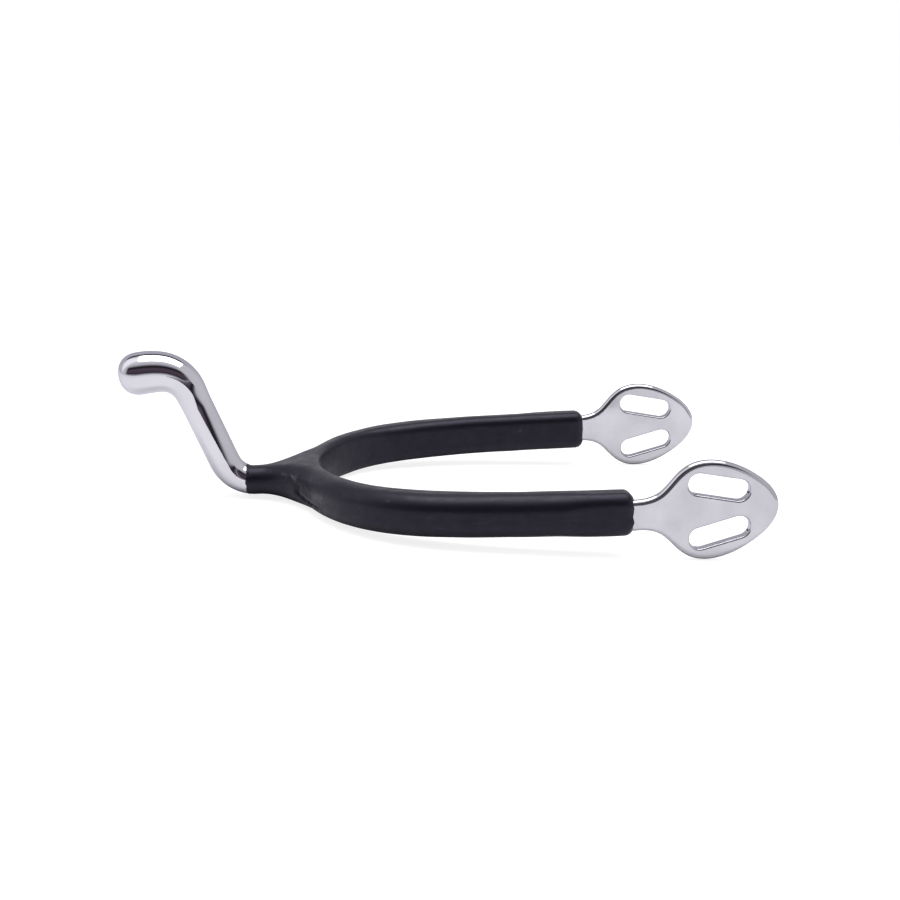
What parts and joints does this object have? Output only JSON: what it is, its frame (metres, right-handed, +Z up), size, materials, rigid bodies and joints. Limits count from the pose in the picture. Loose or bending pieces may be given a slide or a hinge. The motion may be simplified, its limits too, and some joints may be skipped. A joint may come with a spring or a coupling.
{
  "type": "horse riding spur",
  "caption": "U-shaped steel riding spur with a moulded rubber heel cover, slotted oval strap plates and an upswept round neck ending in a blunt knob.",
  "frame": {"origin": "on the surface the spur lies on, under the middle of its overall length and width", "axes": "+X forward from the neck towards the toe, +Y left, +Z up; the spur lies on the lower edges of its end plates and the back of its cover"},
  "size_m": [0.1614, 0.0886, 0.0378],
  "materials": {
    "polished_steel": "polished stainless steel",
    "plain_steel": "plain mill finish, hidden under the rubber",
    "black_rubber": "matt moulded black rubber with a faint sheen"
  },
  "bodies": {
    "root": {"neck": "polished_steel", "left_end_plate": "polished_steel", "right_end_plate": "polished_steel", "heel_band": "plain_steel", "neck_weld": "plain_steel", "left_plate_weld": "plain_steel", "right_plate_weld": "plain_steel", "rubber_cover": "black_rubber"}
  },
  "joints": []
}
